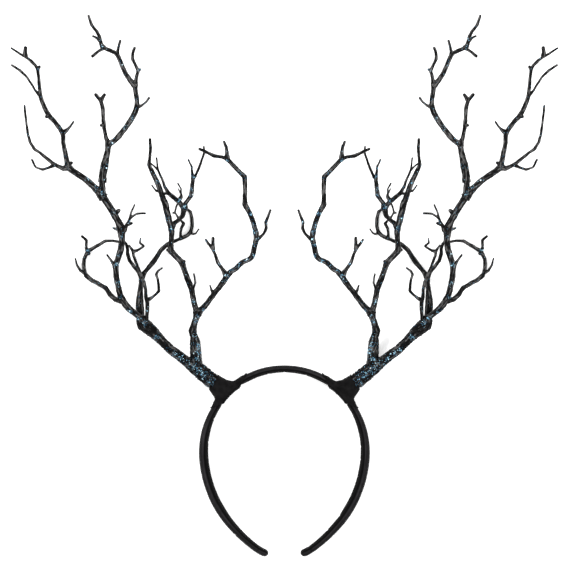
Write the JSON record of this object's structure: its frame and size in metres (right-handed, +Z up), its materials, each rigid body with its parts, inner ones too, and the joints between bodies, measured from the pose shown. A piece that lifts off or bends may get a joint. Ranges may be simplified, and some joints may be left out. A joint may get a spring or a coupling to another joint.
{
  "type": "antler headband",
  "caption": "Curved cloth-covered headband with branching bark-textured antlers dusted with glitter, each seated in a flared cloth wrap; worn over the crown of the head.",
  "frame": {"origin": "bottom centre of the whole part's bounding box as it lies on its back", "axes": "+X to the right in the picture, +Y from the headband's open ends towards the antler tips, +Z up off the table"},
  "size_m": [0.4006, 0.3976, 0.0561],
  "materials": {
    "band_fabric": "black satin-like cloth with a fine weave and a soft sheen",
    "wrap_fabric": "matte black felt-like cloth with ragged edges",
    "branch_plastic": "semi-gloss black plastic with long bark ridges, dusted with pale blue glitter"
  },
  "bodies": {
    "root": {"band": "band_fabric", "left_wrap": "wrap_fabric", "left_trunk": "branch_plastic", "left_inner_branch": "branch_plastic", "left_outer_limb": "branch_plastic", "left_crown_branch": "branch_plastic", "left_back_sprig": "branch_plastic", "left_front_sprig": "branch_plastic", "right_wrap": "wrap_fabric", "right_trunk": "branch_plastic", "right_inner_branch": "branch_plastic", "right_outer_limb": "branch_plastic", "right_crown_branch": "branch_plastic", "right_back_sprig": "branch_plastic", "right_front_sprig": "branch_plastic"}
  },
  "joints": []
}
